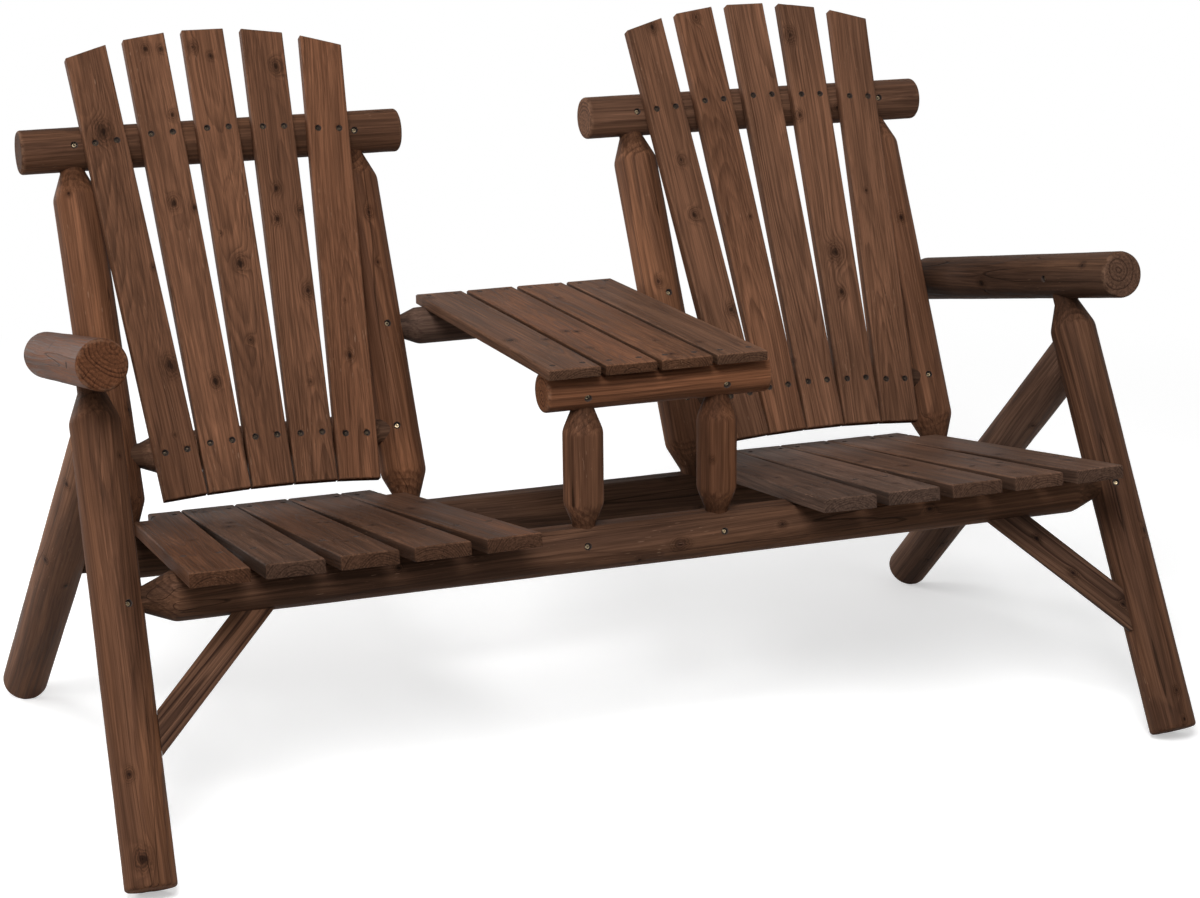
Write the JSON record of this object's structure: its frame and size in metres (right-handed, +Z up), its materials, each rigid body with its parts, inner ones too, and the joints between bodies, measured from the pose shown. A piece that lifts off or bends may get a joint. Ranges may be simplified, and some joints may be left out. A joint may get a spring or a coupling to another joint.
{
  "type": "companion seat bench",
  "caption": "Slatted log chairs joined side by side on shared rails, with a slatted side table between them; rigid, on splayed legs.",
  "frame": {"origin": "middle of the bench's footprint, on the floor", "axes": "+Z up, +Y from the seats' front edge towards the backs, +X to the right of someone who faces the bench"},
  "size_m": [1.6268, 0.9216, 1.0262],
  "materials": {
    "logs": "stained and burnt softwood, satin",
    "back_boards": "stained and burnt softwood, satin",
    "seat_boards": "stained and burnt softwood, satin",
    "table_boards": "stained and burnt softwood, satin"
  },
  "bodies": {
    "root": {"arm_left": "logs", "arm_right": "logs", "back_post_left_inner": "logs", "back_post_left_outer": "logs", "back_post_right_inner": "logs", "back_post_right_outer": "logs", "back_slat_left_1": "back_boards", "back_slat_left_2": "back_boards", "back_slat_left_3": "back_boards", "back_slat_left_4": "back_boards", "back_slat_left_5": "back_boards", "back_slat_right_1": "back_boards", "back_slat_right_2": "back_boards", "back_slat_right_3": "back_boards", "back_slat_right_4": "back_boards", "back_slat_right_5": "back_boards", "brace_left": "logs", "brace_right": "logs", "front_leg_left": "logs", "front_leg_right": "logs", "front_seat_rail": "logs", "low_rail_left": "logs", "low_rail_right": "logs", "rear_leg_left": "logs", "rear_leg_right": "logs", "rear_seat_rail": "logs", "seat_slat_left_1": "seat_boards", "seat_slat_left_2": "seat_boards", "seat_slat_left_3": "seat_boards", "seat_slat_left_4": "seat_boards", "seat_slat_left_5": "seat_boards", "seat_slat_right_1": "seat_boards", "seat_slat_right_2": "seat_boards", "seat_slat_right_3": "seat_boards", "seat_slat_right_4": "seat_boards", "seat_slat_right_5": "seat_boards", "table_front_rail": "logs", "table_post_left": "logs", "table_post_right": "logs", "table_rear_rail": "logs", "table_slat_1": "table_boards", "table_slat_2": "table_boards", "table_slat_3": "table_boards", "table_slat_4": "table_boards", "top_rail_left": "logs", "top_rail_right": "logs"}
  },
  "joints": []
}
